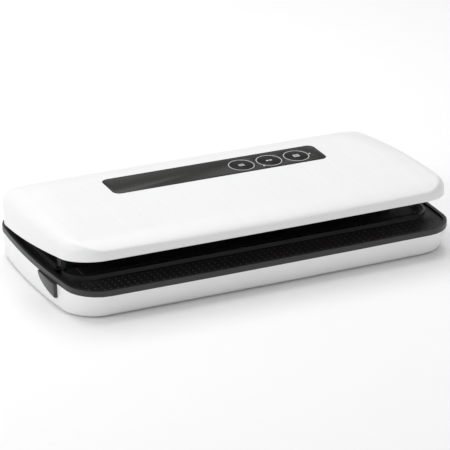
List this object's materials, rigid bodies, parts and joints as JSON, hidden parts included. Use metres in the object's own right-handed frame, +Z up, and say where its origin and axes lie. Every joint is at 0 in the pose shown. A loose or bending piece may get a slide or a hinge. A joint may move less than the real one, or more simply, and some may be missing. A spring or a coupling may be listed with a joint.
{
  "type": "vacuum sealer",
  "caption": "Countertop vacuum bag sealer: low white base with dark sealing tray, hinged crowned lid with a touch-key panel, side release buttons, pump, heater bar.",
  "frame": {"origin": "on the table under the middle of the footprint, level with the bottom of the feet", "axes": "+X to the user's right along the sealing strip, -Y to the front where the bag goes in, +Z up"},
  "size_m": [0.3756, 0.203, 0.0725],
  "materials": {
    "white_plastic": "satin",
    "tray_plastic": "fine texture",
    "button_plastic": "satin dark",
    "panel_gloss": "gloss",
    "latch_plastic": "moulded",
    "ring_plastic": "translucent white",
    "gasket_foam": "closed-cell foam",
    "foot_rubber": "matt",
    "press_silicone": "matt",
    "sealing_tape": "glass cloth with non-stick coat",
    "heater_board": "hard laminate",
    "steel": "bright",
    "board_green": "solder mask",
    "coil_metal": "laminated",
    "brass": "turned",
    "white_inner": "moulded",
    "hose_silicone": "smooth"
  },
  "bodies": {
    "base": {"base_shell": "white_plastic", "base_tray": "tray_plastic", "lower_gasket": "gasket_foam", "heater_bar": "heater_board", "heating_element": "steel", "sealing_tape": "sealing_tape", "bag_stops": "tray_plastic", "trough_filter": "white_inner", "power_board": "board_green", "transformer": "coil_metal", "thermal_fuse": "steel", "lid_switch": "latch_plastic", "cord_gland": "foot_rubber", "rubber_feet": "foot_rubber", "base_screws": "steel", "hinge_pins": "steel", "hinge_springs": "steel", "left_latch_spring": "steel", "right_latch_spring": "steel"},
    "left_release": {"left_release_button": "button_plastic", "left_latch": "latch_plastic"},
    "right_release": {"right_release_button": "button_plastic", "right_latch": "latch_plastic"},
    "switch_follower": {"switch_plunger": "white_inner"},
    "lid": {"lid_shell": "white_plastic", "lid_liner": "tray_plastic", "upper_gasket": "gasket_foam", "press_holder": "steel", "press_strip": "press_silicone", "control_panel": "panel_gloss", "button_rings": "ring_plastic", "indicator_lights": "ring_plastic", "control_board": "board_green", "tact_switches": "latch_plastic", "lid_screws": "steel", "pump_motor": "steel", "pump_housing": "white_inner", "pump_diaphragm": "gasket_foam", "pump_head": "white_inner", "air_hose": "hose_silicone", "valve_body": "latch_plastic"},
    "seal_key": {"seal_button": "panel_gloss"},
    "vacuum_key": {"vacuum_button": "panel_gloss"},
    "stop_key": {"stop_button": "panel_gloss"},
    "pump_rotor": {"pump_eccentric": "brass"},
    "valve": {"valve_plunger": "steel"}
  },
  "joints": [
    {"name": "lid_hinge", "type": "hinge", "parent": "base", "child": "lid", "pos_m": [0, 0.09017, 0.031], "axis": [-1, 0, 0], "range_deg": [-7.2, 50], "stiffness_Nm_per_rad": 3, "springref_deg": 11.46},
    {"name": "left_release_press", "type": "slide", "parent": "base", "child": "left_release", "axis": [1, 0, 0], "range_m": [-0.0012, 0.0024], "stiffness_N_per_m": 600, "deforming": ["left_latch_spring"]},
    {"name": "right_release_press", "type": "slide", "parent": "base", "child": "right_release", "axis": [-1, 0, 0], "range_m": [-0.0012, 0.0024], "stiffness_N_per_m": 600, "deforming": ["right_latch_spring"]},
    {"name": "seal_press", "type": "slide", "parent": "lid", "child": "seal_key", "axis": [0, 0.0489, -0.9988], "range_m": [0, 0.0008], "stiffness_N_per_m": 600},
    {"name": "vacuum_press", "type": "slide", "parent": "lid", "child": "vacuum_key", "axis": [0, 0.0489, -0.9988], "range_m": [0, 0.0008], "stiffness_N_per_m": 600},
    {"name": "stop_press", "type": "slide", "parent": "lid", "child": "stop_key", "axis": [0, 0.0489, -0.9988], "range_m": [0, 0.0008], "stiffness_N_per_m": 600},
    {"name": "switch_press", "type": "slide", "parent": "base", "child": "switch_follower", "axis": [0, 0, -1], "range_m": [0, 0.0015], "stiffness_N_per_m": 300},
    {"name": "pump_spin", "type": "hinge", "parent": "lid", "child": "pump_rotor", "pos_m": [-0.07, 0.06032, 0.0514], "axis": [1, 0, 0], "continuous": true},
    {"name": "valve_lift", "type": "slide", "parent": "lid", "child": "valve", "axis": [0, 0.1253, 0.9921], "range_m": [0, 0.0012], "stiffness_N_per_m": 300}
  ]
}
